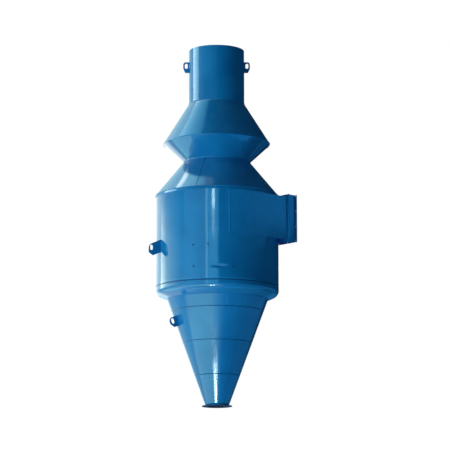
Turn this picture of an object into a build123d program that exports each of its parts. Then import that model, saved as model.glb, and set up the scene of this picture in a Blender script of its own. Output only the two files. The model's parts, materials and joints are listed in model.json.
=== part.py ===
from build123d import *
import os
from math import atan2, degrees, hypot, radians, sin, sqrt

# A cyclone separator in welded steel plate. Millimetres, +Z up along the vessel's axis.
# The origin is the centre of the dust flange's underside. The inlet duct points along +X.

# Plate thicknesses and the fit-up gap that the welds close
shell_thick = 6.0
duct_thick = 6.0
lug_thick = 12.0
fit_gap = 0.3

# Dust flange at the bottom
flange_radius = 195.0
flange_bore_radius = 150.0
flange_thick = 10.0
flange_bolt_radius = 175.0
flange_bolt_count = 8
flange_hole_radius = 7.0

# Bottom cone, rolled in four courses
cone_tip_radius = 152.0
tip_course_high = 384.0
lower_course_high = 425.0
middle_course_high = 408.0
upper_course_high = 263.0

# Barrel, and the knuckle ring that closes its underside round the cone
barrel_radius = 800.0
barrel_high = 1208.0
underside_wide = 100.0
knuckle_high = 40.0
knuckle_radius = 32.0

# Roof cone, double-cone expander and clean-gas outlet pipe
neck_radius = 430.0
roof_high = 450.0
ridge_radius = 695.0
expander_funnel_high = 245.0
expander_hood_high = 535.0
outlet_radius = 362.0
outlet_pipe_long = 717.0
finder_long = 1100.0

# Tangential inlet duct
inlet_clear_width = 280.0
inlet_outer_high = 548.0
inlet_below_barrel_top = 50.0
inlet_stub_long = 27.2
wrapper_angle = 30.4
roof_plate_start = 50.0

# Channel rim round the inlet's mouth
rim_wide = 135.0
rim_leg = 34.0
rim_bar_wide = 25.0
rim_thick = 5.0
rim_hole_radius = 5.5
rim_hole_inset = 16.0
rim_bar_hole_inset = 12.5
rim_middle_hole_spacing = 194.0

# Lifting and tie lugs: azimuths in degrees from +X
pipe_lug_azimuth = 138.0
pipe_lug_reach = 76.0
pipe_lug_high = 145.0
pipe_lug_below_rim = 146.0
barrel_lug_azimuth = 164.5
barrel_lug_reach = 174.0
barrel_lug_high = 165.0
barrel_lug_droop = 76.0
barrel_lug_below_top = 623.0
cone_lug_reach = 118.0
cone_lug_high = 125.0
cone_lug_droop = 45.0
cone_lug_below_seam = 80.0

# Shape shared by the lugs
lug_nose_share = 0.6
lug_tail_share = 0.66
lug_nose_round = 0.45
lug_tail_round = 12.0
lug_root_depth = 90.0
eye_wall = 20.0
eye_wide = 38.0
eye_long = 68.0

# Heights and radii worked out from the sizes above
cone_base_z = flange_thick
cone_high = tip_course_high + lower_course_high + middle_course_high + upper_course_high
cone_top_radius = barrel_radius - underside_wide
cone_top_z = cone_base_z + cone_high
barrel_base_z = cone_top_z + knuckle_high
barrel_top_z = barrel_base_z + barrel_high
neck_z = barrel_top_z + roof_high
ridge_z = neck_z + expander_funnel_high
outlet_base_z = ridge_z + expander_hood_high
outlet_top_z = outlet_base_z + outlet_pipe_long
cone_slope = (cone_top_radius - cone_tip_radius) / cone_high

# Inlet planes worked out from the sizes above
duct_outer_face = -(barrel_radius + fit_gap)
duct_outer_skin = duct_outer_face - duct_thick
duct_inner_face = duct_outer_face + inlet_clear_width
duct_inner_skin = duct_inner_face + duct_thick
duct_top_z = barrel_top_z - inlet_below_barrel_top
duct_base_z = duct_top_z - inlet_outer_high
duct_middle_z = (duct_top_z + duct_base_z) / 2
inlet_reach = sqrt(barrel_radius**2 - duct_inner_skin**2) + inlet_stub_long


def save(name, solid):
    """Write one named piece to its own STEP file."""
    solid.label = name
    export_step(solid, f"parts/{name}.step")


def block(low, high):
    """Box between two opposite corners."""
    size = [top - base for base, top in zip(low, high)]
    return Pos(*low) * Box(*size, align=(Align.MIN, Align.MIN, Align.MIN))


def turned(points, angle=360):
    """Solid of revolution about Z from (radius, height) points, starting at +X."""
    profile = make_face(Polyline(*[(r, 0, z) for r, z in points], close=True))
    return revolve(profile, Axis.Z, revolution_arc=angle)


def cone_shell(base_radius, base_z, top_radius, top_z):
    """Rolled cone of constant plate thickness with level ends."""
    rise = top_z - base_z
    level_thick = shell_thick * hypot(top_radius - base_radius, rise) / rise
    return turned([
        (base_radius, base_z),
        (top_radius, top_z),
        (top_radius - level_thick, top_z),
        (base_radius - level_thick, base_z),
    ])


def tube(radius, base_z, top_z):
    """Rolled cylinder of the shell's plate."""
    return turned([
        (radius, base_z),
        (radius, top_z),
        (radius - shell_thick, top_z),
        (radius - shell_thick, base_z),
    ])


def drum(radius, base_z, top_z):
    """Plain round solid, used to cut pieces back to a shell's outside."""
    return Pos(0, 0, base_z) * Cylinder(radius, top_z - base_z, align=(Align.CENTER, Align.CENTER, Align.MIN))


def cone_radius_at(height):
    """Outside radius of the bottom cone at a height."""
    return cone_tip_radius + cone_slope * (height - cone_base_z)


def dust_flange():
    """Flat ring with a circle of bolt holes."""
    ring = turned([
        (flange_bore_radius, 0),
        (flange_radius, 0),
        (flange_radius, flange_thick),
        (flange_bore_radius, flange_thick),
    ])
    holes = PolarLocations(flange_bolt_radius, flange_bolt_count, start_angle=180 / flange_bolt_count)
    drill = Cylinder(flange_hole_radius, 4 * flange_thick)
    return ring - [spot * drill for spot in holes]


def cone_courses():
    """The four courses of the bottom cone, tip first."""
    course_heights = {
        "cone_tip_course": tip_course_high,
        "cone_lower_course": lower_course_high,
        "cone_middle_course": middle_course_high,
        "cone_upper_course": upper_course_high,
    }
    courses = {}
    base = cone_base_z
    for name, high in course_heights.items():
        top = base + high
        courses[name] = cone_shell(cone_radius_at(base), base, cone_radius_at(top), top)
        base = top
    return courses


def knuckle_ring():
    """Flat underside ring whose rim turns up through a round knuckle to the barrel."""
    flat_thick = shell_thick
    inner_round = knuckle_radius - shell_thick
    hole_radius = cone_top_radius - shell_thick * sqrt(1 + cone_slope**2)
    bend_r = barrel_radius - knuckle_radius
    bend_z = cone_top_z + knuckle_radius
    half = sin(radians(45))
    outside = [
        Line((hole_radius, cone_top_z), (bend_r, cone_top_z)),
        ThreePointArc(
            (bend_r, cone_top_z),
            (bend_r + knuckle_radius * half, bend_z - knuckle_radius * half),
            (barrel_radius, bend_z),
        ),
        Line((barrel_radius, bend_z), (barrel_radius, barrel_base_z)),
        Line((barrel_radius, barrel_base_z), (barrel_radius - shell_thick, barrel_base_z)),
    ]
    inside = [
        Line((barrel_radius - shell_thick, barrel_base_z), (barrel_radius - shell_thick, bend_z)),
        ThreePointArc(
            (barrel_radius - shell_thick, bend_z),
            (bend_r + inner_round * half, bend_z - inner_round * half),
            (bend_r, cone_top_z + flat_thick),
        ),
        Line((bend_r, cone_top_z + flat_thick), (hole_radius, cone_top_z + flat_thick)),
        Line((hole_radius, cone_top_z + flat_thick), (hole_radius, cone_top_z)),
    ]
    profile = Plane.XZ * make_face(outside + inside)
    return revolve(profile, Axis.Z)


def barrel():
    """Rolled barrel with the tangential inlet opening cut through its wall."""
    opening = block(
        (0, duct_outer_face, duct_base_z + duct_thick),
        (barrel_radius, duct_inner_face, duct_top_z - duct_thick),
    )
    return tube(barrel_radius, barrel_base_z, barrel_top_z) - opening


def roof_cone():
    """Conical roof whose upper edge is cut upright round the vortex finder."""
    run = barrel_radius - neck_radius
    level_thick = shell_thick * hypot(run, roof_high) / roof_high
    edge_radius = neck_radius + fit_gap
    steepness = roof_high / run
    return turned([
        (barrel_radius, barrel_top_z),
        (edge_radius, barrel_top_z + (barrel_radius - edge_radius) * steepness),
        (edge_radius, barrel_top_z + (barrel_radius - level_thick - edge_radius) * steepness),
        (barrel_radius - level_thick, barrel_top_z),
    ])


def inlet_wrapper():
    """Curved stretch of the inlet's outer plate, lapped on the barrel before it leaves at a tangent."""
    section = [
        (-duct_outer_face, duct_base_z),
        (-duct_outer_skin, duct_base_z),
        (-duct_outer_skin, duct_top_z),
        (-duct_outer_face, duct_top_z),
    ]
    return Rot(0, 0, -90 - wrapper_angle) * turned(section, wrapper_angle)


def duct_plates():
    """Flat plates of the inlet duct, cut back to the barrel's outside."""
    room = drum(-duct_outer_face, duct_base_z - barrel_high, duct_top_z + barrel_high)
    roof = block(
        (roof_plate_start, duct_outer_face, duct_top_z - duct_thick),
        (inlet_reach, duct_inner_face, duct_top_z),
    )
    floor = Pos(0, 0, duct_thick - inlet_outer_high) * roof
    inner = block(
        (roof_plate_start, duct_inner_face, duct_base_z),
        (inlet_reach, duct_inner_skin, duct_top_z),
    )
    outer = block((0, duct_outer_skin, duct_base_z), (inlet_reach, duct_outer_face, duct_top_z))
    return {
        "inlet_outer_wall": outer,
        "inlet_inner_wall": inner - room,
        "inlet_roof": roof - room,
        "inlet_floor": floor - room,
    }


def rim_drill():
    """The rim's bolt holes as solids to take away."""
    near = duct_outer_skin - rim_hole_inset
    far = duct_inner_skin + rim_bar_hole_inset
    low = duct_base_z - rim_hole_inset
    high = duct_top_z + rim_hole_inset
    half_spacing = rim_middle_hole_spacing / 2
    spots = [(y, z) for y in (near, far) for z in (low, high)]
    spots += [(y, duct_middle_z + side * half_spacing) for y in (near, far) for side in (-1, 1)]
    spots += [((near + far) / 2, z) for z in (low, high)]
    pin = Rot(0, 90, 0) * Cylinder(rim_hole_radius, 4 * rim_thick)
    return [Pos(inlet_reach, y, z) * pin for y, z in spots]


def inlet_rim():
    """Three channels and a flat bar that frame the inlet's mouth."""
    back = inlet_reach - rim_wide
    outer_edge = duct_outer_skin - rim_leg
    base = duct_base_z - rim_leg
    top = duct_top_z + rim_leg
    bar_front = inlet_reach - rim_thick
    outer = block((back, outer_edge, base), (inlet_reach, duct_outer_skin, top)) - block(
        (back + rim_thick, outer_edge, base), (bar_front, duct_outer_skin - rim_thick, top)
    )
    crown = block((back, duct_outer_skin, duct_top_z), (inlet_reach, duct_inner_skin, top)) - block(
        (back + rim_thick, duct_outer_skin, duct_top_z + rim_thick), (bar_front, duct_inner_skin, top)
    )
    sill = block((back, duct_outer_skin, base), (inlet_reach, duct_inner_skin, duct_base_z)) - block(
        (back + rim_thick, duct_outer_skin, base), (bar_front, duct_inner_skin, duct_base_z - rim_thick)
    )
    inner = block((bar_front, duct_inner_skin, base), (inlet_reach, duct_inner_skin + rim_bar_wide, top))
    room = drum(-duct_outer_face, duct_base_z - barrel_high, duct_top_z + barrel_high)
    holes = rim_drill()
    return {
        "inlet_rim_outer": outer - holes,
        "inlet_rim_top": crown - room - holes,
        "inlet_rim_bottom": sill - room - holes,
        "inlet_rim_inner": inner - holes,
    }


def lug(root_radius, top_z, reach, high, droop, lean, room):
    """Eye plate standing out from a shell: round nose, slanted tail and a long eye.

    droop is how far the nose sits below the root, and lean how far the wall falls inwards.
    """
    nose_r = root_radius + reach
    nose_low_z = top_z - droop - lug_nose_share * high
    nose_low_r = nose_r - lug_nose_share * lean
    tail_r = root_radius + lug_tail_share * reach - lean
    outline = Polyline(
        (root_radius - lug_root_depth, top_z),
        (root_radius, top_z),
        (nose_r, top_z - droop),
        (nose_low_r, nose_low_z),
        (tail_r, top_z - lug_tail_share * droop - high),
        (root_radius - lean, top_z - high),
        (root_radius - lug_root_depth, top_z - high),
        close=True,
    )
    face = make_face(outline)
    nose = face.vertices().sort_by(Axis.X)[-2:].sort_by(Axis.Y)
    face = fillet(nose[1], lug_nose_round * reach)
    nose_low = face.vertices().sort_by_distance((nose_low_r, nose_low_z))[0]
    face = fillet(nose_low, lug_tail_round)
    tail = face.vertices().sort_by_distance((tail_r, top_z - lug_tail_share * droop - high))[0]
    face = fillet(tail, lug_tail_round)
    eye_drop = eye_wall + eye_long / 2
    eye_r = nose_r - eye_wall - eye_wide / 2 - lean * eye_drop / high
    eye_z = top_z - droop * (eye_r - root_radius) / reach - eye_drop
    tilt = degrees(atan2(high, lean))
    face -= Pos(eye_r, eye_z) * Rot(0, 0, tilt) * SlotOverall(eye_long, eye_wide)
    plate = extrude(Plane.XZ * face, lug_thick / 2, both=True)
    return plate - room


def lugs():
    """Two lugs opposite each other on the outlet pipe, and one each on the barrel and the bottom cone."""
    pipe_room = drum(outlet_radius + fit_gap, outlet_base_z, outlet_top_z)
    pipe_lug = lug(
        outlet_radius, outlet_top_z - pipe_lug_below_rim, pipe_lug_reach, pipe_lug_high, 0, 0, pipe_room
    )
    barrel_room = drum(barrel_radius + fit_gap, barrel_base_z, barrel_top_z)
    barrel_lug = lug(
        barrel_radius, barrel_top_z - barrel_lug_below_top, barrel_lug_reach, barrel_lug_high,
        barrel_lug_droop, 0, barrel_room,
    )
    cone_lug_z = cone_top_z - upper_course_high - cone_lug_below_seam
    cone_room = Pos(0, 0, cone_base_z) * Cone(
        cone_tip_radius + fit_gap, cone_top_radius + fit_gap, cone_high,
        align=(Align.CENTER, Align.CENTER, Align.MIN),
    )
    cone_lug = lug(
        cone_radius_at(cone_lug_z), cone_lug_z, cone_lug_reach, cone_lug_high,
        cone_lug_droop, cone_slope * cone_lug_high, cone_room,
    )
    return {
        "pipe_lug_left": Rot(0, 0, pipe_lug_azimuth) * pipe_lug,
        "pipe_lug_right": Rot(0, 0, pipe_lug_azimuth + 180) * pipe_lug,
        "barrel_lug": Rot(0, 0, barrel_lug_azimuth) * barrel_lug,
        "cone_lug": Rot(0, 0, barrel_lug_azimuth) * cone_lug,
    }


def cyclone():
    """Every named piece of the cyclone separator."""
    pieces = {"dust_flange": dust_flange()}
    pieces.update(cone_courses())
    pieces["knuckle_ring"] = knuckle_ring()
    pieces["barrel"] = barrel()
    pieces["roof_cone"] = roof_cone()
    pieces["vortex_finder"] = tube(neck_radius, neck_z - finder_long, neck_z)
    pieces["expander_lower_cone"] = cone_shell(neck_radius, neck_z, ridge_radius, ridge_z)
    pieces["expander_upper_cone"] = cone_shell(ridge_radius, ridge_z, outlet_radius, outlet_base_z)
    pieces["outlet_pipe"] = tube(outlet_radius, outlet_base_z, outlet_top_z)
    pieces["inlet_wrapper"] = inlet_wrapper()
    pieces.update(duct_plates())
    pieces.update(inlet_rim())
    pieces.update(lugs())
    return pieces


os.makedirs("parts", exist_ok=True)
for piece_name, piece in cyclone().items():
    save(piece_name, piece)
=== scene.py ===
"""Looks of a welded, blue enamelled cyclone separator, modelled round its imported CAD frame."""
import json
import logging
import math
from dataclasses import dataclass, field
from enum import Enum
from typing import Iterable, Sequence

import bpy
import bmesh
from mathutils import Euler, Matrix, Vector

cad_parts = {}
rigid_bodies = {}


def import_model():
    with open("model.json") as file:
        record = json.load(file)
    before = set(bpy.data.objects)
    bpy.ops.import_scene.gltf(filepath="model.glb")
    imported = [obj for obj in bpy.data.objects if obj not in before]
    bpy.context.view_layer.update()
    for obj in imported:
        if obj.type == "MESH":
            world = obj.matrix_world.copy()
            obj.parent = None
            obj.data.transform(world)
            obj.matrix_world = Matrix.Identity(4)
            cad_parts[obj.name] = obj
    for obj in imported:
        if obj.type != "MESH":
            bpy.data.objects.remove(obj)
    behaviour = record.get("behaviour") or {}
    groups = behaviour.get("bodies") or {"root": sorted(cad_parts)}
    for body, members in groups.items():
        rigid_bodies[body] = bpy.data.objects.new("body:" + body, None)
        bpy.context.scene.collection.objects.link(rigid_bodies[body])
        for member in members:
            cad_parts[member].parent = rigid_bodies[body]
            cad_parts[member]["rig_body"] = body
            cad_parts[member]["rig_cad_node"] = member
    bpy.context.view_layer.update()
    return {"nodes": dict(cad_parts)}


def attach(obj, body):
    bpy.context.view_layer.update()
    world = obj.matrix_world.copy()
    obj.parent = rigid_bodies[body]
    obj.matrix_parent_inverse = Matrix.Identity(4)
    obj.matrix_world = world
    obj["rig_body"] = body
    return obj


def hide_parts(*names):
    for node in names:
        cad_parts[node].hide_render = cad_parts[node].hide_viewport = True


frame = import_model()

LOG = logging.getLogger("cyclone")
BODY = "root"
CAMERA_SIDE = -132.0
FLOOR_HEIGHT = -4.6
FULL_TURN = 360.0
STEPS_ROUND = 360
MERGE_REACH = 1e-5
SMOOTH_BELOW = 32.0
BEAD_SMOOTH_BELOW = 80.0
SMALL_EDGE = 0.0012
Point = tuple[float, float]
Spot = tuple[float, float, float]
Colour = tuple[float, float, float, float]
Socket = bpy.types.NodeSocket
Finish = bpy.types.Material
Piece = bpy.types.Object
WHITE = (1.0, 1.0, 1.0, 1.0)


class Slot(Enum):
    """Material slots of the record."""

    SHELL = "shell_paint"
    RIM = "rim_paint"
    FLANGE = "flange_paint"
    LUG = "lug_paint"


class Winding(Enum):
    """Whether a turned section is a closed outline or an open line."""

    CLOSED = 0
    OPEN = 1


def srgb(red: float, green: float, blue: float) -> Colour:
    """Linear colour of an 8-bit display colour.

    Args:
        red: Red, 0 to 255.
        green: Green, 0 to 255.
        blue: Blue, 0 to 255.

    Returns:
        The colour with full alpha, as Blender's sockets take it.
    """
    def linear(value: float) -> float:
        """One channel without its display curve."""
        share = value / 255
        return share / 12.92 if share <= 0.04045 else ((share + 0.055) / 1.055) ** 2.4

    return (linear(red), linear(green), linear(blue), 1.0)


def dense(points: Sequence[Point], spacing: float) -> list[Point]:
    """A line with extra points, so that none lie further apart than the spacing.

    Args:
        points: Corner points of the line.
        spacing: Largest gap between neighbours, in metres.

    Returns:
        The corner points with the extra points between them.
    """
    line = [points[0]]
    for (r0, z0), (r1, z1) in zip(points, points[1:]):
        parts = max(1, math.ceil(math.hypot(r1 - r0, z1 - z0) / spacing))
        line += [(r0 + (r1 - r0) * i / parts, z0 + (z1 - z0) * i / parts) for i in range(1, parts + 1)]
    return line


def arc(centre: Point, radius: float, start: float, end: float, parts: int) -> list[Point]:
    """Points on a round corner of a section.

    Args:
        centre: Radius and height of the corner's centre, in metres.
        radius: Radius of the corner in metres.
        start: First angle in degrees, from level and outward, upwards.
        end: Last angle in degrees.
        parts: How many straight parts the corner gets.

    Returns:
        The points, one more than the parts.
    """
    turns = [math.radians(start + (end - start) * i / parts) for i in range(parts + 1)]
    return [(centre[0] + radius * math.cos(turn), centre[1] + radius * math.sin(turn)) for turn in turns]


def polar(radius: float, angle: float, height: float) -> Spot:
    """Point beside the vessel's axis.

    Args:
        radius: Distance from the axis in metres.
        angle: Angle from +X in degrees.
        height: Height in metres.

    Returns:
        The point in the shared frame.
    """
    turn = math.radians(angle)
    return (radius * math.cos(turn), radius * math.sin(turn), height)


@dataclass(frozen=True)
class Pattern:
    """A cloudy pattern, with the values at which its patches begin and are full."""

    cells: float
    layers: float
    begins: float = 0.0
    full: float = 1.0
    stretch: Spot = (1.0, 1.0, 1.0)
    roughness: float = 0.5


@dataclass(frozen=True)
class Relief:
    """Fine relief of a surface: its pattern, how much of it shows, and its height in metres."""

    pattern: Pattern
    strength: float
    height: float


class Graph:
    """Node tree of a material or world, with short calls for the nodes it needs."""

    def __init__(self, owner: Finish | bpy.types.World) -> None:
        """Empties the tree.

        Args:
            owner: The material or world.
        """
        owner.use_nodes = True
        self.owner = owner
        self.tree = owner.node_tree
        self.tree.nodes.clear()

    def feed(self, targets: Iterable[Socket], *sources: object) -> None:
        """Links inputs to the sockets that feed them, or gives them values.

        Args:
            targets: The inputs.
            sources: A socket or a value for each of them.
        """
        for target, source in zip(targets, sources):
            if isinstance(source, Socket):
                self.tree.links.new(source, target)
            else:
                target.default_value = source

    def node(self, kind: str, **sources: object) -> bpy.types.Node:
        """Adds a node.

        Args:
            kind: Blender's name for the node, without the words that all share.
            sources: A socket or a value for each input named, with _ for each space.

        Returns:
            The node.
        """
        node = self.tree.nodes.new(f"ShaderNode{kind}")
        self.feed([node.inputs[name.replace("_", " ")] for name in sources], *sources.values())
        return node

    def placed(self, **values: Spot) -> Socket:
        """Object coordinates after a mapping with these values."""
        place = self.node("TexCoord").outputs["Object"]
        return self.node("Mapping", Vector=place, **values).outputs["Vector"]

    def noise(self, pattern: Pattern) -> Socket:
        """A pattern in the piece's own space.

        Args:
            pattern: The pattern.

        Returns:
            The pattern's value socket.
        """
        return self.node(
            "TexNoise", Vector=self.placed(Scale=pattern.stretch), Scale=pattern.cells,
            Detail=pattern.layers, Roughness=pattern.roughness,
        ).outputs["Fac"]

    def patches(self, pattern: Pattern) -> Socket:
        """A pattern as patches: 0 between them and 1 where they are full."""
        return self.span(self.noise(pattern), pattern.begins, pattern.full)

    def span(self, source: Socket, low: float, high: float, start: float = 0.0, end: float = 1.0) -> Socket:
        """A value laid on another range: low becomes start, and high becomes end."""
        node = self.node("MapRange", Value=source, From_Min=low, From_Max=high, To_Min=start, To_Max=end)
        return node.outputs["Result"]

    def sum(self, operation: str, first: Socket, second: Socket | float) -> Socket:
        """Arithmetic on a value and a value or number.

        Args:
            operation: Blender's name for the sum.
            first: The first value.
            second: The second value, or a number.

        Returns:
            The result's socket.
        """
        node = self.node("Math")
        node.operation = operation
        self.feed(node.inputs, first, second)
        return node.outputs["Value"]

    def times(self, first: Socket, second: Socket | float) -> Socket:
        """Product of a value and a value or number."""
        return self.sum("MULTIPLY", first, second)

    def plus(self, first: Socket, second: Socket | float) -> Socket:
        """Sum of a value and a value or number."""
        return self.sum("ADD", first, second)

    def mix(self, share: Socket, first: Socket | Colour, second: Socket | Colour) -> Socket:
        """Blend of two colours.

        Args:
            share: How much of the second colour shows.
            first: A colour or a colour socket.
            second: A colour or a colour socket.

        Returns:
            The blend's socket.
        """
        node = self.node("Mix")
        node.data_type = "RGBA"
        colours = [socket for socket in node.inputs if socket.type == "RGBA"]
        self.feed((node.inputs[0], *colours), share, first, second)
        return next(socket for socket in node.outputs if socket.type == "RGBA")

    def split(self, vector: Socket) -> bpy.types.NodeOutputs:
        """The three parts of a vector, as outputs X, Y and Z."""
        return self.node("SeparateXYZ", Vector=vector).outputs

    def upward(self) -> Socket:
        """How far the surface faces up, from -1 to 1."""
        return self.split(self.node("NewGeometry").outputs["Normal"])["Z"]

    def seen(self) -> Socket:
        """Which rays see a thing: those from the camera, off a gloss or through glass.

        Returns:
            The socket, 1 for those rays and 0 for rays that gather light.
        """
        rays = self.node("LightPath").outputs
        seen = self.sum("MAXIMUM", rays["Is Camera Ray"], rays["Is Glossy Ray"])
        return self.sum("MAXIMUM", seen, rays["Is Transmission Ray"])

    def bump(self, relief: Relief, below: Socket | None = None) -> Socket:
        """Fine relief on top of a lower layer.

        Args:
            relief: The relief.
            below: The lower layer's normal.

        Returns:
            The normal's socket.
        """
        node = self.node(
            "Bump", Strength=relief.strength, Distance=relief.height, Height=self.noise(relief.pattern)
        )
        if below is not None:
            self.feed([node.inputs["Normal"]], below)
        return node.outputs["Normal"]

    def show(self, shader: bpy.types.Node, output: str = "OutputMaterial") -> None:
        """Links a shader to the output node."""
        self.node(output, Surface=shader.outputs[0])


@dataclass(frozen=True)
class Enamel:
    """Glossy blue enamel: mottle, rain marks, dust on what faces up, chips and orange peel, plus painted
    light where a below colour is given: a lighter blue on what faces down.
    """

    name: str
    deep: Colour = srgb(4, 94, 160)
    light: Colour = srgb(12, 108, 174)
    dust: Colour = srgb(118, 142, 158)
    chip: Colour = srgb(58, 50, 46)
    tint: Colour = srgb(160, 231, 243)
    # Painted light: a lighter colour for what faces down, standing in for light bounced up from the floor.
    below: Colour | None = None
    specular: float = 0.62
    gloss: float = 0.1
    dusting: float = 0.08
    chipping: float = 0.7
    mottle: Pattern = Pattern(1.7, 4.0, 0.35, 0.65)
    rain: Pattern = Pattern(5.0, 5.0, 0.5, 0.72, (3.0, 3.0, 0.16))
    cloud: Pattern = Pattern(11.0, 6.0, 0.38, 0.68)
    chips: Pattern = Pattern(46.0, 5.0, 0.74, 0.77, roughness=0.7)
    rain_share: float = 0.22
    rain_dull: float = 0.05
    dust_dull: float = 0.6
    chip_dull: float = 0.4
    facing_up: Point = (0.25, 0.85)
    # Upward values over which the painted underside light fades in.
    painted_underlight_range: Point = (-0.5, -0.9)
    waves: Relief = Relief(Pattern(9.0, 1.0), 0.2, 0.002)
    peel: Relief = Relief(Pattern(330.0, 1.0), 0.06, 0.0008)
    ripple: Relief | None = None

    def material(self) -> Finish:
        """Makes the finish.

        Returns:
            The node material.
        """
        graph = Graph(bpy.data.materials.new(self.name))
        rain = graph.patches(self.rain)
        settled = graph.times(graph.span(graph.upward(), *self.facing_up), graph.patches(self.cloud))
        dust = graph.times(settled, self.dusting)
        chips = graph.times(graph.patches(self.chips), self.chipping)
        paint = graph.mix(graph.patches(self.mottle), self.deep, self.light)
        paint = graph.mix(graph.times(rain, self.rain_share), paint, self.deep)
        paint = graph.mix(dust, paint, self.dust)
        # Painted light: surfaces facing down blend to the lighter below colour, in place of light bounced up
        # from the floor.
        if self.below:
            paint = graph.mix(graph.span(graph.upward(), *self.painted_underlight_range), paint, self.below)
        rough = graph.plus(graph.times(rain, self.rain_dull), self.gloss)
        for marks, dull in ((dust, self.dust_dull), (chips, self.chip_dull)):
            rough = graph.plus(rough, graph.times(marks, dull))
        normal = graph.bump(self.peel, graph.bump(self.waves))
        if self.ripple:
            normal = graph.bump(self.ripple, normal)
        graph.show(graph.node(
            "BsdfPrincipled", Base_Color=graph.mix(chips, paint, self.chip), Roughness=rough, Normal=normal,
            Specular_IOR_Level=self.specular, Specular_Tint=self.tint,
        ))
        return graph.owner


@dataclass(frozen=True)
class Bare:
    """Dull plate inside the vessel: scale, dust bands and scratches."""

    name: str
    deep: Colour = srgb(16, 34, 54)
    light: Colour = srgb(36, 56, 76)
    scale_brown: Colour = srgb(50, 46, 46)
    specular: float = 0.5
    roughness: float = 0.55
    cloud: Pattern = Pattern(6.0, 6.0, 0.35, 0.65)
    cloud_dull: float = 0.2
    bands: Pattern = Pattern(3.0, 3.0, 0.55, 0.75, (1.0, 1.0, 4.0))
    band_share: float = 0.5
    scratches: Relief = Relief(Pattern(180.0, 4.0, stretch=(1.0, 1.0, 0.2)), 0.25, 0.001)

    def material(self) -> Finish:
        """Makes the finish.

        Returns:
            The node material.
        """
        graph = Graph(bpy.data.materials.new(self.name))
        cloud = graph.patches(self.cloud)
        steel = graph.mix(cloud, self.deep, self.light)
        brown = graph.times(graph.patches(self.bands), self.band_share)
        rough = graph.plus(graph.times(cloud, self.cloud_dull), self.roughness)
        graph.show(graph.node(
            "BsdfPrincipled", Base_Color=graph.mix(brown, steel, self.scale_brown), Roughness=rough,
            Normal=graph.bump(self.scratches), Specular_IOR_Level=self.specular, Specular_Tint=WHITE,
        ))
        return graph.owner


WELD_RIPPLE = Relief(Pattern(120.0, 3.0), 0.6, 0.003)
RIM_RIPPLE = Relief(Pattern(60.0, 3.0), 0.1, 0.003)


def made(maker: Enamel | Bare) -> Finish:
    """Dataclass field that holds a finish's material."""
    return field(default_factory=maker.material)


@dataclass
class Finishes:
    """Every finish of the vessel, made once and shared."""

    shell: Finish = made(Enamel("shell_enamel"))
    weld: Finish = made(Enamel("weld_enamel", ripple=WELD_RIPPLE, gloss=0.14, chipping=0.4))
    # Darker copy of the enamel, painted shade: it stands in for the shadow in weld grooves, lap steps and
    # plug holes.
    seam: Finish = made(Enamel(
        "painted_shade_enamel", deep=srgb(2, 50, 100), light=srgb(4, 62, 114), specular=0.15, gloss=0.35,
        ripple=WELD_RIPPLE, chipping=0.2,
    ))
    rim: Finish = made(Enamel("rim_enamel", chipping=1.0, dusting=0.4, ripple=RIM_RIPPLE))
    # The skirt's enamel paints its downward faces a lighter blue: painted light from below.
    skirt: Finish = made(Enamel("skirt_painted_underlight_enamel", below=srgb(26, 130, 202)))
    # Darker, dull copy of the enamel: painted shade for the shadowed underside of the dust flange.
    flange: Finish = made(Enamel(
        "flange_painted_shade_enamel", deep=srgb(4, 48, 92), light=srgb(8, 62, 112), specular=0.06, gloss=0.5
    ))
    lug: Finish = made(Enamel("lug_enamel", chipping=1.0, dusting=0.35, gloss=0.13))
    inside: Finish = made(Bare("inner_scale"))


def clear() -> None:
    """Deselects everything."""
    bpy.ops.object.select_all(action="DESELECT")


def take(piece: Piece) -> None:
    """Makes one piece the only selected and active one.

    Args:
        piece: The piece.
    """
    clear()
    piece.select_set(True)
    bpy.context.view_layer.objects.active = piece


def named(name: str) -> Piece:
    """Names the object just added.

    Args:
        name: The name, which its mesh gets too.

    Returns:
        The object.
    """
    piece = bpy.context.object
    piece.name = name
    piece.data.name = name
    return piece


def finish_with(piece: Piece, kind: str, **settings: object) -> None:
    """Adds a modifier to a piece and applies it.

    Args:
        piece: The piece.
        kind: Blender's name for the modifier.
        settings: The modifier's values.
    """
    take(piece)
    modifier = piece.modifiers.new(kind.lower(), kind)
    for name, value in settings.items():
        setattr(modifier, name, value)
    bpy.ops.object.modifier_apply(modifier=modifier.name)


def cut(piece: Piece, cutter: Piece) -> None:
    """Takes a cutter's form out of a piece and throws the cutter away."""
    finish_with(piece, "BOOLEAN", object=cutter, operation="DIFFERENCE", solver="EXACT")
    bpy.data.objects.remove(cutter)


def rounded(piece: Piece, width: float, segments: int, angle: float) -> None:
    """Rounds every edge of a piece that is sharper than an angle, in degrees."""
    bluntest = math.radians(angle)
    finish_with(piece, "BEVEL", width=width, segments=segments, limit_method="ANGLE", angle_limit=bluntest)


def tidy(piece: Piece, angle: float = SMOOTH_BELOW, outward: bool = True) -> Piece:
    """Applies the place, merges doubles, turns faces outwards and smooths what is round.

    Args:
        piece: The piece.
        angle: Sharpest edge that is still smoothed, in degrees.
        outward: Whether the faces are turned outwards.

    Returns:
        The same piece.
    """
    take(piece)
    bpy.ops.object.transform_apply(location=True, rotation=True, scale=True)
    bpy.ops.object.mode_set(mode="EDIT")
    bpy.ops.mesh.select_all(action="SELECT")
    bpy.ops.mesh.remove_doubles(threshold=MERGE_REACH)
    if outward:
        bpy.ops.mesh.normals_make_consistent(inside=False)
    bpy.ops.object.mode_set(mode="OBJECT")
    bpy.ops.object.shade_smooth_by_angle(angle=math.radians(angle))
    return piece


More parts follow.
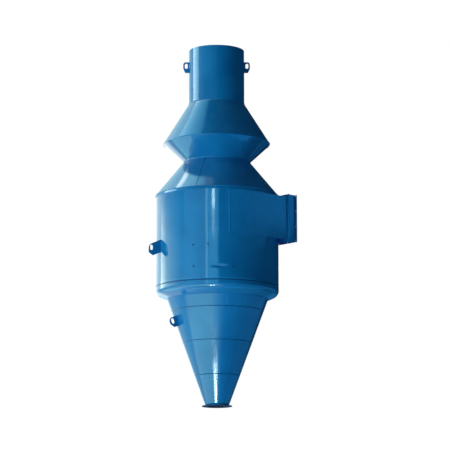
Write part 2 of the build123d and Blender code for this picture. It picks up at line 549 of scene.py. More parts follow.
def turned(
    name: str, section: Sequence[Point], steps: int = STEPS_ROUND, start: float = 0.0,
    sweep: float = FULL_TURN, winding: Winding = Winding.CLOSED,
) -> Piece:
    """A piece turned about the vessel's axis from a section.

    Args:
        name: Name of the piece.
        section: Radius and height of each point, in metres.
        steps: Faces round the sweep.
        start: Angle of the section, in degrees.
        sweep: How far the section turns, in degrees.
        winding: Whether the section is a closed outline.

    Returns:
        The turned piece.
    """
    clear()
    bpy.ops.mesh.primitive_circle_add(vertices=len(section), radius=1.0, fill_type="NOTHING")
    piece = named(name)
    for vertex, (radius, height) in zip(piece.data.vertices, section):
        vertex.co = polar(radius, start, height)
    bpy.ops.object.mode_set(mode="EDIT")
    if winding is Winding.OPEN:
        mesh = bmesh.from_edit_mesh(piece.data)
        ends = {0, len(section) - 1}
        closing = [e for e in mesh.edges if {v.index for v in e.verts} == ends]
        bmesh.ops.delete(mesh, geom=closing, context="EDGES_FACES")
        bmesh.update_edit_mesh(piece.data)
    bpy.ops.mesh.select_all(action="SELECT")
    bpy.ops.mesh.spin(steps=steps, angle=-math.radians(sweep), center=(0, 0, 0), axis=(0, 0, 1))
    bpy.ops.mesh.select_all(action="SELECT")
    bpy.ops.mesh.remove_doubles(threshold=MERGE_REACH)
    if winding is Winding.CLOSED and sweep != FULL_TURN:
        bpy.ops.mesh.select_mode(type="EDGE")
        bpy.ops.mesh.select_all(action="DESELECT")
        bpy.ops.mesh.select_non_manifold(
            extend=False, use_wire=False, use_boundary=True, use_multi_face=False,
            use_non_contiguous=False, use_verts=False,
        )
        bpy.ops.mesh.edge_face_add()
    bpy.ops.object.mode_set(mode="OBJECT")
    return tidy(piece)


def waved(piece: Piece, height: float, length: float) -> None:
    """Gives a piece the slight waves of rolled and welded plate.

    Args:
        piece: The piece.
        height: Height of the waves in metres.
        length: Length of the waves in metres.
    """
    pattern = bpy.data.textures.new(f"{piece.name}_waves", "CLOUDS")
    pattern.noise_scale = length
    pattern.noise_depth = 1
    finish_with(piece, "DISPLACE", texture=pattern, texture_coords="LOCAL", strength=height, mid_level=0.5)


def dented(piece: Piece, place: Spot, reach: Spot) -> None:
    """Presses a soft dent into a shell.

    Args:
        piece: The shell.
        place: Middle of the dent.
        reach: Its depth, half its width and half its height, in metres.
    """
    depth, half_wide, half_high = reach
    through = 0.3
    turn = math.atan2(place[1], place[0])
    clear()
    bpy.ops.object.empty_add(location=place, rotation=(0, 0, turn))
    spot = bpy.context.object
    spot.scale = (through, half_wide, half_high)
    bpy.context.view_layer.update()
    pattern = bpy.data.textures.new(f"{piece.name}_dent", "BLEND")
    pattern.progression = "SPHERICAL"
    pattern.use_color_ramp = True
    pattern.color_ramp.interpolation = "EASE"
    for axis, share in (("X", math.cos(turn)), ("Y", math.sin(turn))):
        finish_with(
            piece, "DISPLACE", texture=pattern, texture_coords="OBJECT", texture_coords_object=spot,
            direction=axis, space="LOCAL", strength=-depth * share, mid_level=0.0,
        )
    bpy.data.objects.remove(spot)


def from_frame(name: str, node: str, bevel: float) -> Piece:
    """A merged copy of a CAD node with rounded edges.

    Args:
        name: Name of the new piece.
        node: The CAD node.
        bevel: Width of the rounded edges in metres.

    Returns:
        The new piece, which replaces the node.
    """
    flat, bluntest = 0.5, 35.0
    take(frame["nodes"][node])
    bpy.ops.object.duplicate(linked=False)
    piece = named(name)
    bpy.ops.object.parent_clear(type="CLEAR_KEEP_TRANSFORM")
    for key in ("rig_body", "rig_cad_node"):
        if key in piece:
            del piece[key]
    bpy.ops.object.mode_set(mode="EDIT")
    bpy.ops.mesh.select_all(action="SELECT")
    bpy.ops.mesh.customdata_custom_splitnormals_clear()
    bpy.ops.mesh.remove_doubles(threshold=MERGE_REACH)
    bpy.ops.mesh.dissolve_limited(angle_limit=math.radians(flat))
    bpy.ops.object.mode_set(mode="OBJECT")
    rounded(piece, bevel, segments=2, angle=bluntest)
    tidy(piece, outward=False)
    finish_with(piece, "WEIGHTED_NORMAL", keep_sharp=True)
    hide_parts(node)
    return piece


def dress(piece: Piece, outside: Finish, inside: Finish | None = None) -> None:
    """Gives a piece its finish and lets it ride on the vessel.

    Args:
        piece: The piece.
        outside: The finish.
        inside: A second finish, for the faces that look towards the vessel's axis.
    """
    piece.data.materials.clear()
    for finish in (outside, inside):
        if finish is not None:
            piece.data.materials.append(finish)
    for face in piece.data.polygons:
        out = face.center.x * face.normal.x + face.center.y * face.normal.y
        face.material_index = int(inside is not None and out < 0)
    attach(piece, BODY)
    LOG.info("%s: %d faces", piece.name, len(piece.data.polygons))


def lay(beads: "Iterable[Bead | Run]", finish: Finish) -> None:
    """Makes weld beads and dresses them."""
    for bead in beads:
        dress(bead.build(), finish)


@dataclass
class Shell:
    """A rolled shell: its outside line from bottom to top, the plate's level thickness and its joints."""

    node: str
    line: tuple[Point, ...]
    wall: float
    chamfer: float = 0.003
    groove: float = 0.0
    wave: float = 0.0022
    wave_long: float = 0.34
    spacing: float = 0.03

    def section(self) -> list[Point]:
        """Section of the wall, with chamfered outside edges for the weld grooves.

        Returns:
            The points of the closed outline.
        """
        groove = self.groove or self.chamfer
        outer = list(self.line)
        for end, beside in ((0, 1), (-1, -2)):
            (r0, z0), (r1, z1) = self.line[end], self.line[beside]
            share = groove / math.hypot(r1 - r0, z1 - z0)
            outer[end] = (r0 + (r1 - r0) * share, z0 + (z1 - z0) * share)
        (low_r, low_z), (high_r, high_z) = self.line[0], self.line[-1]
        outer = [(low_r - self.chamfer, low_z), *dense(outer, self.spacing), (high_r - self.chamfer, high_z)]
        return outer + [(r - self.wall, z) for r, z in reversed(self.line)]

    def build(self) -> Piece:
        """Rolls the shell.

        Returns:
            The piece, which replaces its CAD node.
        """
        piece = turned(f"{self.node}_shell", self.section())
        waved(piece, self.wave, self.wave_long)
        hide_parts(self.node)
        return piece


@dataclass
class Bead:
    """A weld bead laid round the vessel, a little proud of the joint's radius and above its height."""

    name: str
    radius: float
    height: float
    proud: float = 0.0
    lift: float = 0.0
    size: float = 0.005
    flatness: float = 0.75
    start: float = 0.0
    sweep: float = FULL_TURN
    lumps: float = 0.0016
    lump_long: float = 0.02
    sides: int = 8
    steps_per_degree: float = 1.6

    def build(self) -> Piece:
        """Lays the bead.

        Returns:
            The piece, with its uneven lumps.
        """
        radius, height = self.radius + self.proud, self.height + self.lift
        turns = [2 * math.pi * i / self.sides for i in range(self.sides)]
        wide = self.size * self.flatness
        section = [(radius + wide * math.cos(t), height + self.size * math.sin(t)) for t in turns]
        steps = int(self.sweep * self.steps_per_degree)
        piece = turned(self.name, section, steps, self.start, self.sweep)
        waved(piece, self.lumps, self.lump_long)
        return tidy(piece, BEAD_SMOOTH_BELOW)


@dataclass
class Run:
    """A straight weld bead between two points."""

    name: str
    low: Spot
    high: Spot
    size: float = 0.004
    lumps: float = 0.0014
    lump_long: float = 0.018
    sides: int = 8
    pitch: float = 0.012

    def build(self) -> Piece:
        """Lays the bead.

        Returns:
            The piece, a lumpy rod.
        """
        start, end = (Vector(p) for p in (self.low, self.high))
        along = end - start
        clear()
        bpy.ops.mesh.primitive_cylinder_add(
            vertices=self.sides, radius=self.size, depth=along.length, location=(start + end) / 2,
            rotation=along.to_track_quat("Z", "Y").to_euler(),
        )
        piece = named(self.name)
        cuts = max(1, int(along.length / self.pitch))
        bpy.ops.object.mode_set(mode="EDIT")
        mesh = bmesh.from_edit_mesh(piece.data)
        for edge in mesh.edges:
            edge.select = abs(edge.verts[0].co.z - edge.verts[1].co.z) > self.size
        mesh.select_flush_mode()
        bmesh.update_edit_mesh(piece.data)
        bpy.ops.mesh.subdivide(number_cuts=cuts)
        bpy.ops.object.mode_set(mode="OBJECT")
        tidy(piece, BEAD_SMOOTH_BELOW)
        waved(piece, self.lumps, self.lump_long)
        return tidy(piece, BEAD_SMOOTH_BELOW)


@dataclass
class Assembly:
    """A sub-assembly of the vessel, with the finishes that all share."""

    finishes: Finishes

    def upright(self, name: str, low: Point, high: Point, angle: float, gap: float, finish: Finish) -> None:
        """Lays an upright weld, half sunk in a shell.

        Args:
            name: Name of the piece.
            low: Radius and height of the shell's lower end.
            high: Radius and height of its upper end.
            angle: Angle of the weld in degrees.
            gap: How much of the shell's height stays free at each end, in metres.
            finish: The weld's finish.
        """
        sunk = 0.0015
        inset = (high[0] - low[0]) / (high[1] - low[1]) * gap
        foot = polar(low[0] + inset - sunk, angle, low[1] + gap)
        head = polar(high[0] - inset - sunk, angle, high[1] - gap)
        lay([Run(name, foot, head)], finish)

    def build(self) -> None:
        """Builds every piece of the sub-assembly."""
        raise NotImplementedError


@dataclass
class Cone(Assembly):
    """The bottom cone: four rolled courses on the dust flange, with their welds."""

    flange_radius: float = 0.195
    flange_bore: float = 0.150
    flange_thick: float = 0.010
    flange_steps: int = 192
    bolt_radius: float = 0.175
    bolt_hole: float = 0.007
    bolt_sides: int = 28
    bolts: int = 8
    tip_radius: float = 0.152
    top_radius: float = 0.700
    base: float = 0.010
    top: float = 1.490
    seams: tuple[float, ...] = (0.394, 0.819, 1.227)
    upright_seams: tuple[float, ...] = (35.0, 80.0, 20.0, -119.2)
    upright_gap: float = 0.015
    wall: float = 0.0064

    def radius_at(self, height: float) -> float:
        """Outside radius at a height."""
        share = (height - self.base) / (self.top - self.base)
        return self.tip_radius + (self.top_radius - self.tip_radius) * share

    def ends(self) -> list[Point]:
        """Radius and height of the courses' ends, from the tip upwards."""
        return [(self.radius_at(z), z) for z in (self.base, *self.seams, self.top)]

    def courses(self) -> None:
        """Rolls the four courses."""
        names = ("cone_tip_course", "cone_lower_course", "cone_middle_course", "cone_upper_course")
        for name, low, high in zip(names, self.ends(), self.ends()[1:]):
            shell = Shell(name, (low, high), self.wall, chamfer=0.0045, groove=0.005)
            dress(shell.build(), self.finishes.shell, self.finishes.inside)

    def welds(self) -> None:
        """Lays the girth welds in their grooves, and an upright one on each course."""
        girths = [
            Bead(f"cone_weld_{number}", self.radius_at(z), z, proud=-0.004, flatness=0.5, lumps=0.0008)
            for number, z in enumerate(self.seams, 1)
        ]
        # The girth welds get the painted shade finish, darkening the grooves they lie in.
        lay(girths, self.finishes.seam)
        rims = (
            Bead("flange_weld", self.tip_radius, self.base, proud=0.001, lift=0.001),
            Bead(
                "cone_top_weld", self.top_radius, self.top, proud=0.0005, lift=-0.0005, size=0.003,
                lumps=0.0008,
            ),
        )
        lay(rims, self.finishes.weld)
        courses = zip(self.ends(), self.ends()[1:], self.upright_seams)
        for number, (low, high, angle) in enumerate(courses, 1):
            name = f"cone_upright_weld_{number}"
            self.upright(name, low, high, angle, self.upright_gap, self.finishes.weld)

    def flange(self) -> None:
        """Turns the dust flange and drills its bolt circle."""
        out, thick = self.flange_radius, self.flange_thick
        section = [
            (self.flange_bore, 0.0), (out - SMALL_EDGE, 0.0), (out, SMALL_EDGE),
            (out, thick - SMALL_EDGE), (out - SMALL_EDGE, thick), (self.flange_bore, thick),
        ]
        ring = turned("dust_flange_ring", section, self.flange_steps)
        for number in range(self.bolts):
            angle = FULL_TURN / self.bolts * (number + 0.5)
            clear()
            bpy.ops.mesh.primitive_cylinder_add(
                vertices=self.bolt_sides, radius=self.bolt_hole, depth=4 * thick,
                location=polar(self.bolt_radius, angle, thick / 2),
            )
            cut(ring, named(f"drill_{number}"))
        tidy(ring)
        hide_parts("dust_flange")
        # The flange's darker finish is painted shade.
        dress(ring, self.finishes.flange)

    def build(self) -> None:
        """Builds the whole cone."""
        self.courses()
        self.welds()
        self.flange()


@dataclass
class Barrel(Assembly):
    """The barrel with its knuckled underside and deep rounded skirt, its dent and its four filled plugs."""

    radius: float = 0.800
    wall: float = 0.006
    base: float = 1.530
    top: float = 2.738
    chamfer: float = 0.005
    groove: float = 0.016
    knuckle: float = 0.032
    knuckle_parts: int = 10
    knuckle_edge: float = 0.003
    underside: float = 1.490
    hole: float = 0.6936
    skirt_radius: float = 0.8006
    skirt_round: float = 0.0806
    skirt_parts: int = 12
    skirt_wall: float = 0.005
    skirt_bend: float = 65.0
    skirt_start: float = 1.495
    skirt_top: float = 1.5285
    skirt_end: Point = (0.6575, 1.378)
    skirt_spacing: float = 0.02
    opening_low: Spot = (0.0, -0.8003, 2.146)
    opening_high: Spot = (0.82, -0.5203, 2.682)
    dent: Point = (-129.0, 1.704)
    dent_reach: Spot = (0.014, 0.16, 0.034)
    dent_rows: int = 26
    dent_margin: float = 1.2
    plugs: tuple[Point, ...] = ((-154.1, 1.982), (-139.9, 1.986), (-153.7, 1.709), (-117.2, 1.699))
    plug_radius: float = 0.013
    plug_deep: float = 0.009
    plug_sides: int = 24
    plug_edge: float = 0.003
    plug_sharp: float = 60.0

    def wall_shell(self) -> None:
        """Rolls the barrel, cuts the inlet opening through it and dents it."""
        angle, height = self.dent
        reach = self.dent_margin * self.dent_reach[2]
        rows = [height + reach * (2 * i / self.dent_rows - 1) for i in range(self.dent_rows + 1)]
        line = tuple((self.radius, z) for z in (self.base, *rows, self.top))
        piece = Shell("barrel", line, self.wall, self.chamfer, self.groove).build()
        clear()
        centre = [(a + b) / 2 for a, b in zip(self.opening_low, self.opening_high)]
        bpy.ops.mesh.primitive_cube_add(size=1.0, location=centre)
        cutter = named("opening_cutter")
        cutter.scale = [b - a for a, b in zip(self.opening_low, self.opening_high)]
        cut(piece, cutter)
        dented(piece, polar(self.radius, angle, height), self.dent_reach)
        tidy(piece)
        dress(piece, self.finishes.shell, self.finishes.inside)

    def plug_welds(self) -> None:
        """Fills the four small holes in the barrel with low round plugs."""
        for number, (angle, height) in enumerate(self.plugs, 1):
            clear()
            bpy.ops.mesh.primitive_cylinder_add(
                vertices=self.plug_sides, radius=self.plug_radius, depth=self.plug_deep,
                location=polar(self.radius, angle, height),
                rotation=(0, math.radians(90), math.radians(angle)),
            )
            piece = named(f"barrel_plug_{number}")
            rounded(piece, self.plug_edge, segments=3, angle=self.plug_sharp)
            # The plugs get the painted shade finish, so they read as shaded holes.
            dress(tidy(piece, self.plug_sharp), self.finishes.seam)

    def knuckle_ring(self) -> None:
        """Turns the flat underside with its round knuckle, as the CAD has it."""
        centre = (self.radius - self.knuckle, self.underside + self.knuckle)
        section = [
            (self.hole, self.underside), *arc(centre, self.knuckle, -90, 0, self.knuckle_parts),
            (self.radius, self.base - self.knuckle_edge), (self.radius - self.knuckle_edge, self.base),
            (self.radius - self.wall, self.base),
            *arc(centre, self.knuckle - self.wall, 0, -90, self.knuckle_parts),
            (self.hole, self.underside + self.wall),
        ]
        piece = turned("knuckle_ring_shell", section)
        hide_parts("knuckle_ring")
        dress(piece, self.finishes.shell)

    def skirt(self) -> None:
        """Turns the deep rounded skirt that closes the underside on the cone, and its weld."""
        centre = (self.skirt_radius - self.skirt_round, self.skirt_start)
        outside = arc(centre, self.skirt_round, 0, -self.skirt_bend, self.skirt_parts)
        inside = arc(centre, self.skirt_round - self.skirt_wall, -self.skirt_bend, 0, self.skirt_parts)
        end_r, end_z = self.skirt_end
        section = [
            (self.skirt_radius, self.skirt_top), *outside,
            *dense([outside[-1], self.skirt_end], self.skirt_spacing)[1:], (end_r, end_z + self.skirt_wall),
            *inside, (self.skirt_radius - self.skirt_wall, self.skirt_top),
        ]
        piece = turned("underside_skirt", section)
        waved(piece, height=0.0016, length=0.3)
        # Its finish carries painted light on the downward faces.
        dress(piece, self.finishes.skirt)
        lay([Bead("skirt_weld", end_r, end_z, proud=0.003, lift=-0.001, size=0.004)], self.finishes.weld)

    def welds(self) -> None:
        """Lays the welds at the barrel's two ends."""
        low = Bead(
            "barrel_base_weld", self.radius, self.base, proud=-0.002, lift=0.004, size=0.01, flatness=0.32,
            lumps=0.001,
        )
        # The base weld gets the painted shade finish, standing in for the shadow of the step at the barrel's
        # foot.
        lay([low], self.finishes.seam)
        high = Bead("barrel_top_weld", self.radius, self.top, proud=-0.001, size=0.0055)
        lay([high], self.finishes.weld)

    def build(self) -> None:
        """Builds the barrel."""
        self.wall_shell()
        self.knuckle_ring()
        self.skirt()
        self.plug_welds()
        self.welds()


@dataclass
class Head(Assembly):
    """Everything above the barrel: roof cone, double cone, outlet pipe and vortex finder."""

    eaves: Point = (0.800, 2.738)
    neck: Point = (0.430, 3.188)
    ridge: Point = (0.695, 3.433)
    pipe: Point = (0.362, 3.968)
    pipe_top: float = 4.685
    finder_base: float = 2.088
    plate: float = 0.006
    roof_gap: float = 0.0003
    roof_seam: float = -151.5
    rear_seams: tuple[float, ...] = (25.0, 65.0, -5.0, 40.0)
    seam_gap: float = 0.012

    def level_wall(self, low: Point, high: Point) -> float:
        """Thickness of a sloping plate, measured level."""
        run, rise = high[0] - low[0], high[1] - low[1]
        return self.plate * math.hypot(run, rise) / rise

    def shells(self) -> None:
        """Rolls the shells."""
        eaves, neck, ridge, pipe = self.eaves, self.neck, self.ridge, self.pipe
        run, rise = eaves[0] - neck[0], neck[1] - eaves[1]
        roof = (eaves, (neck[0] + self.roof_gap, eaves[1] + (run - self.roof_gap) * rise / run))
        shells = (
            Shell("roof_cone", roof, self.level_wall(eaves, neck)),
            Shell("expander_lower_cone", (neck, ridge), self.level_wall(neck, ridge), chamfer=0.002),
            Shell("expander_upper_cone", (ridge, pipe), self.level_wall(ridge, pipe), chamfer=0.002),
            Shell("outlet_pipe", (pipe, (pipe[0], self.pipe_top)), self.plate, chamfer=0.002),
            Shell("vortex_finder", ((neck[0], self.finder_base), neck), self.plate, chamfer=0.001),
        )
        for shell in shells:
            dress(shell.build(), self.finishes.shell, self.finishes.inside)

    def welds(self) -> None:
        """Lays the girth welds, the roof's lap weld, darkened as painted shade, and the upright welds."""
        girths = (
            Bead("neck_weld", *self.neck, proud=0.003, size=0.008),
            Bead("ridge_weld", *self.ridge, proud=-0.002, size=0.007, lumps=0.001),
            Bead("pipe_weld", *self.pipe, proud=0.002, size=0.007),
        )
        lay(girths, self.finishes.weld)
        roof, hood, funnel, pipe = self.rear_seams
        uprights = (
            # The lap weld gets the painted shade finish, for the shadow of the lap step.
            ("roof_lap_seam", self.roof_seam, self.eaves, self.neck, self.finishes.seam),
            ("roof_upright_weld", roof, self.eaves, self.neck, self.finishes.weld),
            ("hood_upright_weld", hood, self.ridge, self.pipe, self.finishes.weld),
            ("funnel_upright_weld", funnel, self.neck, self.ridge, self.finishes.weld),
            ("pipe_upright_weld", pipe, self.pipe, (self.pipe[0], self.pipe_top), self.finishes.weld),
        )
        for name, angle, low, high, finish in uprights:
            self.upright(name, low, high, angle, self.seam_gap, finish)

    def build(self) -> None:
        """Builds the head."""
        self.shells()
        self.welds()


@dataclass
class Inlet(Assembly):
    """The tangential inlet: lapped wrapper, flat plates and the channel rim at its mouth."""

    barrel: float = 0.800
    face: float = 0.8003
    skin: float = 0.8063
    inner_wall: float = 0.5143
    base: float = 2.140
    top: float = 2.688
    wrapper_angle: float = 30.4
    wrapper_steps: int = 48
    wrapper_spacing: float = 0.04
    edge: float = 0.001
    tangent: float = -90.0

    def plates(self) -> None:
        """Makes the wrapper and the flat plates."""
        outer = dense(
            [(self.skin, self.base + SMALL_EDGE), (self.skin, self.top - SMALL_EDGE)], self.wrapper_spacing
        )
        section = [
            (self.face, self.base), (self.skin - SMALL_EDGE, self.base), *outer,
            (self.skin - SMALL_EDGE, self.top), (self.face, self.top),
        ]
        start = self.tangent - self.wrapper_angle
        wrapper = turned("inlet_wrapper_plate", section, self.wrapper_steps, start, self.wrapper_angle)
        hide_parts("inlet_wrapper")
        dress(wrapper, self.finishes.shell)
        for node in ("inlet_outer_wall", "inlet_inner_wall", "inlet_roof", "inlet_floor"):
            dress(from_frame(f"{node}_plate", node, self.edge), self.finishes.shell)

    def rim(self) -> None:
        """Makes the rim's channels and bar."""
        for side in ("outer", "top", "bottom", "inner"):
            piece = from_frame(f"inlet_rim_{side}_bar", f"inlet_rim_{side}", self.edge)
            dress(piece, self.finishes.rim)

    def welds(self) -> None:
        """Lays the welds where the wrapper and the duct meet the barrel."""
        lap = self.tangent - self.wrapper_angle
        inner = -math.degrees(math.asin(self.inner_wall / self.barrel))
        beads = [
            Bead(f"{name}_{end}_weld", radius, height, proud, lift, size, 1.0, start, sweep)
            for name, radius, proud, size, start, sweep in (
                ("wrapper", self.skin, -0.003, 0.004, lap, self.wrapper_angle),
                ("duct", self.barrel, 0.002, 0.005, self.tangent, inner - self.tangent),
            )
            for end, height, lift in (("top", self.top, 0.001), ("base", self.base, -0.001))
        ]
        runs = [
            Run(name, polar(radius, angle, self.base), polar(radius, angle, self.top), size)
            for name, radius, angle, size in (
                ("wrapper_edge_weld", self.skin - 0.002, lap - 0.1, 0.0065),
                ("duct_inner_weld", self.barrel + 0.002, inner + 0.2, 0.004),
            )
        ]
        lay(beads + runs, self.finishes.weld)

    def build(self) -> None:
        """Builds the inlet."""
        self.plates()
        self.welds()
        self.rim()


@dataclass
class Lugs(Assembly):
    """The flame-cut lifting lugs with their rounded edges."""

    nodes: tuple[str, ...] = ("pipe_lug_left", "pipe_lug_right", "barrel_lug", "cone_lug")
    angles: tuple[float, ...] = (138.0, 318.0, 164.5, 164.5)
    feet: tuple[Point, ...] = ((0.362, 4.394), (0.362, 4.394), (0.800, 1.950), (0.5267, 1.022))
    heads: tuple[Point, ...] = ((0.362, 4.539), (0.362, 4.539), (0.800, 2.115), (0.573, 1.147))
    half_thick: float = 0.006
    edge: float = 0.0018
    weld_size: float = 0.005

    def build(self) -> None:
        """Makes every lug, then the welds on both sides of each."""
        for node in self.nodes:
            piece = from_frame(f"{node}_plate", node, self.edge)
            dress(piece, self.finishes.lug)
        for node, angle, foot, head in zip(self.nodes, self.angles, self.feet, self.heads):
            turn = math.radians(angle)
            aside = Vector((-math.sin(turn), math.cos(turn), 0.0)) * self.half_thick
            for name, side in (("near", 1), ("far", -1)):
                low, high = (tuple(Vector(polar(r, angle, z)) + aside * side) for r, z in (foot, head))
                lay([Run(f"{node}_{name}_weld", low, high, self.weld_size)], self.finishes.weld)


@dataclass(frozen=True)
class Card:
    """A studio card or soft box seen only in reflections, on a ring round the vessel."""

    name: str
    line: tuple[Point, ...]
    start: float
    end: float
    light: Colour
    strengths: Point
    top_share: float = 1.0
    far: Colour | None = None
    spacing: float = 0.2
    steps: int = 48

    def glow(self, graph: Graph) -> bpy.types.Node:
        """Colour and strength of each spot: they change along the card and towards its top.

        Args:
            graph: The card's node tree.

        Returns:
            Its emission node.
        """
        middle = CAMERA_SIDE + (self.start + self.end) / 2
        half = math.radians(self.end - self.start) / 2
        facing = graph.split(graph.placed(Rotation=(0, 0, -math.radians(middle))))
        angle = graph.sum("ARCTAN2", facing["Y"], facing["X"])
        colour = self.light
        if self.far is not None:
            colour = graph.mix(graph.span(angle, -half, half), self.light, self.far)
        strength = graph.span(angle, -half, half, *self.strengths)
        if self.top_share != 1.0:
            low, high = self.line[0][1], self.line[-1][1]
            strength = graph.times(strength, graph.span(facing["Z"], low, high, 1.0, self.top_share))
        return graph.node("Emission", Color=colour, Strength=strength)

    def build(self) -> None:
        """Stands the card up; angles are measured from the camera's side, to the right."""
        line = dense(self.line, self.spacing)
        card = turned(
            self.name, line, self.steps, CAMERA_SIDE + self.start, self.end - self.start, Winding.OPEN
        )
        graph = Graph(bpy.data.materials.new(f"{self.name}_light"))
        graph.show(self.glow(graph))
        card.data.materials.append(graph.owner)
        card.visible_camera = False
        card.visible_diffuse = False
        card.visible_shadow = False
        card.visible_transmission = False


@dataclass(frozen=True)
class Lamp:
    """A soft box that lights the vessel without showing in its gloss."""

    name: str
    turn: float
    height: float
    distance: float
    size: float
    power: float
    colour: Spot
    aim: Spot = (0.0, 0.0, 2.3)

    def build(self) -> None:
        """Hangs the soft box; its turn is measured from the camera's side, to the right."""
        place = Vector(polar(self.distance, CAMERA_SIDE + self.turn, self.height))
        turn = (Vector(self.aim) - place).to_track_quat("-Z", "Y").to_euler()
        clear()
        bpy.ops.object.light_add(type="AREA", location=place, rotation=turn)
        lamp = bpy.context.object
        lamp.name = self.name
        lamp.data.shape = "SQUARE"
        lamp.data.size = self.size
        lamp.data.energy = self.power
        lamp.data.color = self.colour
        lamp.visible_camera = False
        lamp.visible_glossy = False


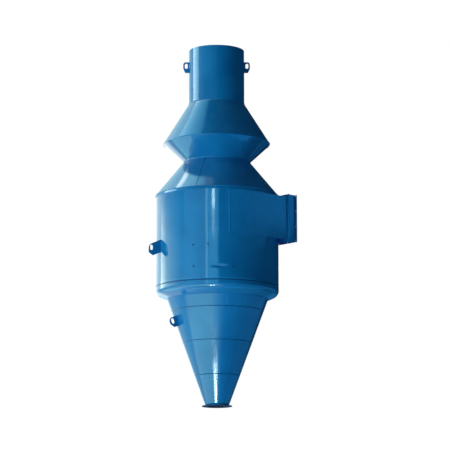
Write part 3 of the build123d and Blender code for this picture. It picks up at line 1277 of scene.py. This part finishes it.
@dataclass
class Studio:
    """Floor, pale world, lamps, cards and camera."""

    camera_place: Spot = (-20.007, -22.220, -2.9016)
    camera_pitch: float = 9.99
    camera_heading: float = -42.205
    camera_roll: float = -0.109
    lens: float = 186.83
    sensor: float = 36.0
    view_reach: float = 400.0
    floor_size: float = 160.0
    floor_glow: float = 1.2
    floor_glow_share: float = 0.75
    world_strength: float = 0.2
    lamps: tuple[Lamp, ...] = (
        Lamp("key_soft_box", -48.0, 1.0, 9.5, 5.0, 880.0, (1.0, 0.97, 0.85)),
        Lamp("fill_soft_box", 25.0, 1.0, 16.0, 8.0, 90.0, (0.6, 0.85, 1.0)),
        Lamp("back_soft_box", 165.0, 6.0, 16.0, 8.0, 900.0, (1.0, 1.0, 1.0)),
    )

    def floor(self) -> None:
        """Lays the pale floor below the hanging vessel."""
        clear()
        bpy.ops.mesh.primitive_plane_add(size=self.floor_size, location=(0, 0, FLOOR_HEIGHT))
        ground = named("studio_floor")
        tidy(ground, outward=False)
        graph = Graph(bpy.data.materials.new("floor_white"))
        matt = graph.node("BsdfDiffuse", Color=srgb(236, 238, 240)).outputs[0]
        bright = graph.node("Emission", Strength=self.floor_glow).outputs[0]
        blend = graph.node("MixShader")
        graph.feed(blend.inputs, graph.times(graph.seen(), self.floor_glow_share), matt, bright)
        graph.show(blend)
        ground.data.materials.append(graph.owner)

    def world(self) -> None:
        """Paints the world white where it is seen, and dimmer where it lights."""
        graph = Graph(bpy.data.worlds.new("studio_world"))
        strength = graph.span(graph.seen(), 0.0, 1.0, self.world_strength, 1.0)
        graph.show(graph.node("Background", Color=WHITE, Strength=strength), "OutputWorld")
        bpy.context.scene.world = graph.owner

    def cards(self) -> None:
        """Stands up the cards that shape the reflections."""
        floor = FLOOR_HEIGHT + 0.02
        ground = ((0.02, floor), (15.0, floor))
        near = ((5.0, floor + 0.01), (13.9, floor + 0.01))
        wall = ((15.0, floor), (15.0, 0.5))
        base = ((14.0, floor), (14.0, 0.8))
        low = ((14.0, 0.8), (14.0, 3.2))
        high = ((14.0, 3.2), (14.0, 5.8))
        dome = ((13.9, 10.0), (9.0, 16.0), (4.0, 22.0))
        dark = srgb(40, 90, 130)
        blue = (0.06, 0.42, 1.0, 1.0)
        dim = (0.5, 0.8, 1.0, 1.0)
        sky = (0.39, 0.77, 1.0, 1.0)
        haze = (0.60, 0.92, 1.0, 1.0)
        deep = (0.25, 0.85, 1.2, 1.0)
        sand = (0.93, 0.86, 0.64, 1.0)
        shade = (0.50, 0.92, 0.86, 1.0)
        cream = (1.0, 1.0, 0.78, 1.0)
        pale = (0.93, 1.0, 0.93, 1.0)
        cool = (0.70, 1.0, 0.98, 1.0)
        warm = (1.0, 0.64, 0.56, 1.0)
        cards = (
            Card("dark_wall", ((15.0, 0.5), (15.0, 12.0)), 1.5, 178.0, dark, (0.3, 0.1)),
            Card("dark_ceiling", ((15.0, 12.0), (0.02, 22.0)), -62.0, 178.0, dark, (0.4, 0.1)),
            Card("dim_sky", ((14.9, 6.4), (14.9, 12.0)), -60.0, 1.5, dim, (0.8, 0.2)),
            Card("blue_ground", ground, 22.0, 112.0, blue, (1.9, 1.8)),
            Card("dark_ground", ground, 112.0, 178.0, dark, (0.3, 0.1)),
            Card("blue_wall", wall, 1.5, 95.0, blue, (1.9, 1.7)),
            Card("fading_wall", wall, 95.0, 142.0, blue, (1.7, 0.5)),
            Card("rear_wall", wall, 142.0, 166.0, blue, (0.2, 0.3)),
            Card("rear_right_wall", wall, 166.0, 180.0, blue, (0.3, 0.8)),
            Card("blue_window", ((14.8, 4.62), (14.8, 6.1)), 16.0, 100.0, blue, (1.0, 2.6)),
            Card("light_ground", near, -90.0, -18.0, sand, (3.9, 4.0)),
            Card("left_ground", near, -136.0, -90.0, shade, (3.5, 3.9), far=sand),
            Card("ground_edge", near, -18.0, 22.0, sand, (4.0, 1.9), far=blue),
            Card("rear_base", base, -180.0, -166.0, cool, (0.8, 1.8)),
            Card("rear_left_base", base, -166.0, -145.0, pale, (2.2, 2.7)),
            Card("far_left_base", base, -145.0, -125.0, cool, (1.2, 1.2), 1.2),
            Card("far_left_wall", ((14.0, 0.8), (14.0, 5.4)), -178.0, -125.0, pale, (2.6, 2.6), 0.9),
            Card("far_left_sky", ((14.0, 5.4), (14.0, 10.0)), -178.0, -113.0, haze, (1.1, 1.9)),
            Card("left_wall_base", base, -125.0, -62.0, cool, (1.3, 1.3), 1.6),
            Card("left_edge_low", low, -125.0, -108.0, cream, (10.5, 6.0)),
            Card("left_wall_low", low, -108.0, -62.0, cream, (5.2, 0.9)),
            Card("left_edge_high", high, -125.0, -108.0, cream, (10.5, 6.0), 0.02),
            Card("left_wall_high", high, -108.0, -62.0, cream, (5.2, 0.9), 0.02),
            Card("left_high_box", ((13.5, 6.2), (13.5, 9.5)), -113.0, -80.0, WHITE, (10.0, 5.0)),
            Card("rear_sky", dome, -166.0, -120.0, haze, (1.2, 3.2), 0.7),
            Card("left_sky", dome, -120.0, -40.0, haze, (5.5, 0.5), 0.7, deep),
            Card("roof_lamp", ((10.2, 14.4), (8.85, 16.1)), -133.0, -122.0, WHITE, (8.0, 7.0)),
            Card("front_soft_box", ((13.0, -2.0), (13.0, 6.5)), -14.0, 2.5, sky, (3.0, 3.0)),
            Card("thin_strip", ((12.6, 0.0), (12.6, 6.3)), -19.5, -16.5, WHITE, (5.0, 5.0)),
            Card("small_lamp", ((12.4, 4.6), (12.4, 5.05)), -8.0, -4.0, warm, (45.0, 45.0)),
            Card("floor_glow", ((6.2, floor + 0.03), (7.9, floor + 0.03)), -21.0, 3.0, warm, (22.0, 22.0)),
            Card("floor_lamp", ((6.4, floor + 0.04), (7.4, floor + 0.04)), -15.0, -4.0, warm, (110.0, 110.0)),
        )
        for card in cards:
            card.build()

    def camera(self) -> None:
        """Places the camera at the photograph's viewing angle."""
        clear()
        pitch, heading = math.radians(90 + self.camera_pitch), math.radians(self.camera_heading)
        level = Euler((pitch, 0, heading)).to_matrix()
        turn = level @ Matrix.Rotation(math.radians(self.camera_roll), 3, "Z")
        bpy.ops.object.camera_add(location=self.camera_place, rotation=turn.to_euler())
        camera = bpy.context.object
        camera.name = "photo_camera"
        camera.data.lens = self.lens
        camera.data.sensor_width = self.sensor
        camera.data.clip_end = self.view_reach
        bpy.context.scene.camera = camera

    def build(self) -> None:
        """Sets up the whole studio."""
        self.floor()
        self.world()
        for lamp in self.lamps:
            lamp.build()
        self.cards()
        self.camera()
        bpy.context.scene.view_settings.view_transform = "Standard"


def main() -> None:
    """Builds every sub-assembly in order, logging each, then the studio."""
    logging.basicConfig(level=logging.INFO, format="%(message)s")
    finishes = Finishes()
    for kind in (Cone, Barrel, Head, Inlet, Lugs):
        kind(finishes).build()
        LOG.info("%s done", kind.__name__)
    Studio().build()


if __name__ == "__main__":
    main()
